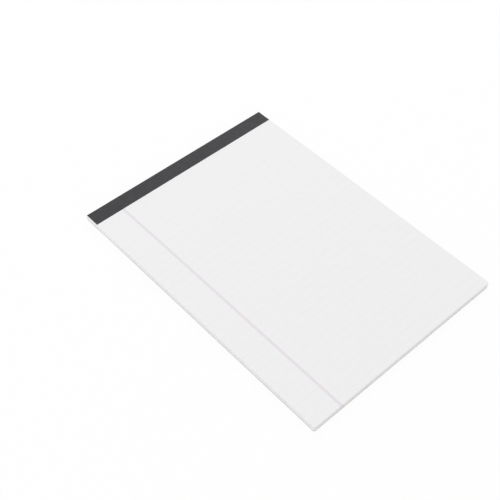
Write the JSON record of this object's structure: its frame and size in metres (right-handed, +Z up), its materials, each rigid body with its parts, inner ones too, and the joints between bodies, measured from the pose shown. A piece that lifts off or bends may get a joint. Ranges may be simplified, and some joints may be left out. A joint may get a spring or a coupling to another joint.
{
  "type": "legal pad",
  "caption": "Ruled writing pad: a block of sheets on a chipboard back, stapled at the head under a folded strip of dark binding tape.",
  "frame": {"origin": "on the table, under the middle of the whole pad's box", "axes": "+X across the page to the reader's right, +Y towards the taped head, +Z up out of the page"},
  "size_m": [0.216, 0.2986, 0.0063],
  "materials": {
    "ruled_paper": "matt white writing paper with pale grey-blue rules and a double pink-violet margin line",
    "chipboard": "plain grey chipboard, uncoated and speckled",
    "black_tape": "charcoal coated paper tape with a fine emboss and a low sheen",
    "stitching_wire": "bright galvanised wire"
  },
  "bodies": {
    "root": {"page_block": "ruled_paper", "backing_board": "chipboard", "binding_tape": "black_tape", "staples": "stitching_wire"}
  },
  "joints": []
}
